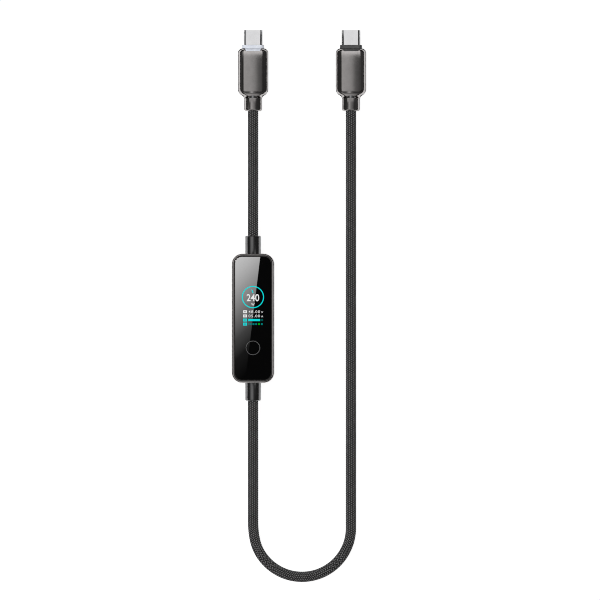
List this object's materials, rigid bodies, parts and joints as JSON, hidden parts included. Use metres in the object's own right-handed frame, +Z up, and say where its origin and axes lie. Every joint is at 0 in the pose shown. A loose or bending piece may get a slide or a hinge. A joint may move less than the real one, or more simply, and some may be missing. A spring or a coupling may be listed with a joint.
{
  "type": "usb power meter cable",
  "caption": "Braided USB-C to USB-C charging cable with an in-line power meter: a slim case with a colour display and a round push button.",
  "frame": {"origin": "middle of the meter case's underside, which rests on a surface", "axes": "+Z up out of the display, +Y along the meter case towards the short cord and its plug, +X towards the long cord's return run"},
  "size_m": [0.06, 0.2469, 0.009],
  "materials": {
    "black_plastic": "fine matte moulded black",
    "frame_metal": "satin gunmetal anodised",
    "black_gloss": "piano-black polished panel",
    "ring_metal": "thin satin grey trim",
    "black_tape": "matte black foam tape",
    "display_glass": "dark display glass",
    "light_guide": "milky light guide",
    "white_plastic": "white moulded plastic",
    "amber_flex": "amber polyimide film",
    "circuit_board": "dark green solder mask",
    "chip_black": "black moulded package",
    "steel": "plain stamped steel",
    "ceramic_tan": "tan ceramic",
    "wire_jacket": "soft wire insulation",
    "relief_gloss": "smooth black moulded sleeve",
    "nylon_braid": "black nylon braid with a grey fleck",
    "gunmetal": "gloss gunmetal plating",
    "steel_shell": "bright nickel-plated steel",
    "gold_contact": "gold-plated contact",
    "milky_plastic": "milky blue-white plastic",
    "dark_plastic": "dark grey plastic"
  },
  "bodies": {
    "meter": {"rear_cover": "black_plastic", "body_frame": "frame_metal", "front_lens": "black_gloss", "button_ring": "ring_metal", "short_relief": "relief_gloss", "long_relief": "relief_gloss", "lens_gasket": "black_tape", "display_tape": "black_tape", "display_glass": "display_glass", "display_backlight": "light_guide", "display_tray": "white_plastic", "display_flex": "amber_flex", "flex_connector": "black_plastic", "main_board": "circuit_board", "meter_chip": "chip_black", "regulator_chip": "chip_black", "crystal": "steel", "shunt_resistor": "chip_black", "capacitors": "ceramic_tan", "resistors": "chip_black", "power_inductor": "chip_black", "switch_base": "black_plastic", "switch_cover": "steel", "switch_dome": "steel", "short_end_wires": "wire_jacket", "long_end_wires": "wire_jacket", "short_cord": "nylon_braid", "long_cord": "nylon_braid", "short_plug_housing": "gunmetal", "short_plug_tail_sleeve": "gunmetal", "short_plug_nose_ring": "milky_plastic", "short_plug_shell": "steel_shell", "short_plug_carrier": "black_plastic", "short_plug_contacts": "gold_contact", "short_plug_latch_plate": "steel", "short_plug_inner_mould": "black_plastic", "short_plug_paddle_board": "circuit_board", "short_plug_emarker_chip": "chip_black", "short_plug_crimp": "steel", "short_plug_wires": "wire_jacket", "long_plug_housing": "gunmetal", "long_plug_tail_sleeve": "gunmetal", "long_plug_nose_ring": "dark_plastic", "long_plug_shell": "steel_shell", "long_plug_carrier": "black_plastic", "long_plug_contacts": "gold_contact", "long_plug_latch_plate": "steel", "long_plug_inner_mould": "black_plastic", "long_plug_paddle_board": "circuit_board", "long_plug_emarker_chip": "chip_black", "long_plug_crimp": "steel", "long_plug_wires": "wire_jacket"},
    "button": {"button_cap": "black_gloss", "switch_plunger": "white_plastic"}
  },
  "joints": [
    {"name": "button_press", "type": "slide", "parent": "meter", "child": "button", "axis": [0, 0, -1], "range_m": [0, 0.00035], "stiffness_N_per_m": 1500, "springref_m": -0.0002, "deforming": ["switch_dome"]}
  ]
}
